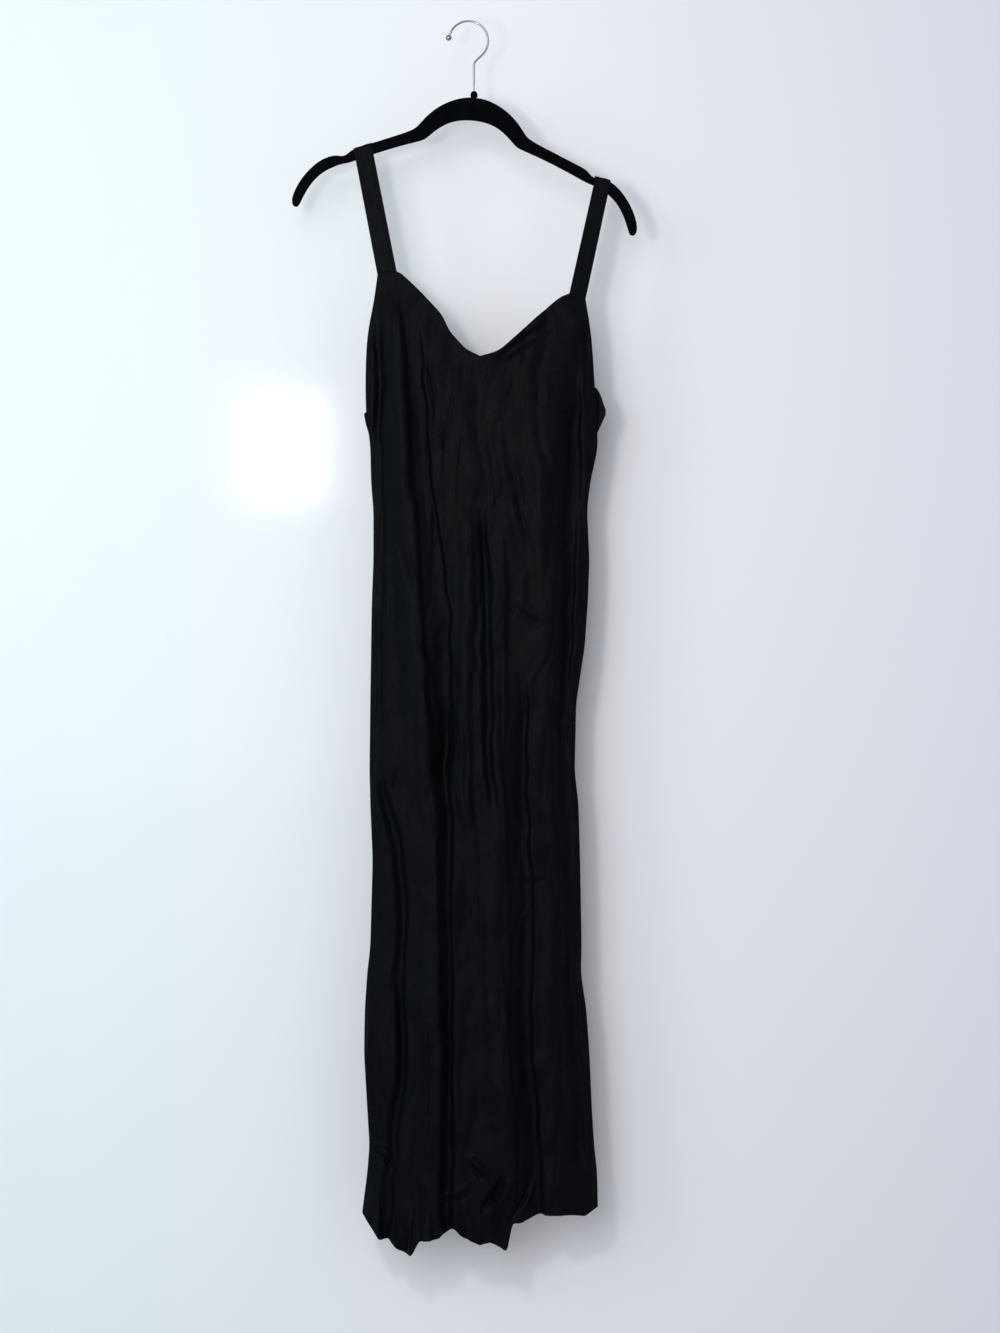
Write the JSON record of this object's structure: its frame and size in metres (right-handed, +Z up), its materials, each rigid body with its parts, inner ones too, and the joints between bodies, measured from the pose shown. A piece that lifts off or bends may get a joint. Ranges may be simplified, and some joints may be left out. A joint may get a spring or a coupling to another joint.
{
  "type": "slip dress on a hanger",
  "caption": "Long V-neck slip dress with wide shoulder straps, hanging flat in soft vertical folds from a slim arched hanger with a wire hook.",
  "frame": {"origin": "inner top of the hanger hook's bend, where a rail or wall hook carries it", "axes": "+Z up along the dress's length, -Y out of its front, +X to the right as seen from the front"},
  "size_m": [0.4423, 0.0648, 1.5766],
  "materials": {
    "dress_cloth": "black washed satin, finely crinkled, low soft sheen",
    "hanger_flock": "black velvet flock over moulded plastic",
    "hook_chrome": "bright plated steel wire"
  },
  "bodies": {
    "root": {"front_bodice_left": "dress_cloth", "front_bodice_right": "dress_cloth", "front_skirt": "dress_cloth", "back_panel": "dress_cloth", "strap_left": "dress_cloth", "strap_right": "dress_cloth", "hanger_body": "hanger_flock", "hanger_neck": "hanger_flock", "hook_wire": "hook_chrome", "hook_ball": "hook_chrome"}
  },
  "joints": []
}
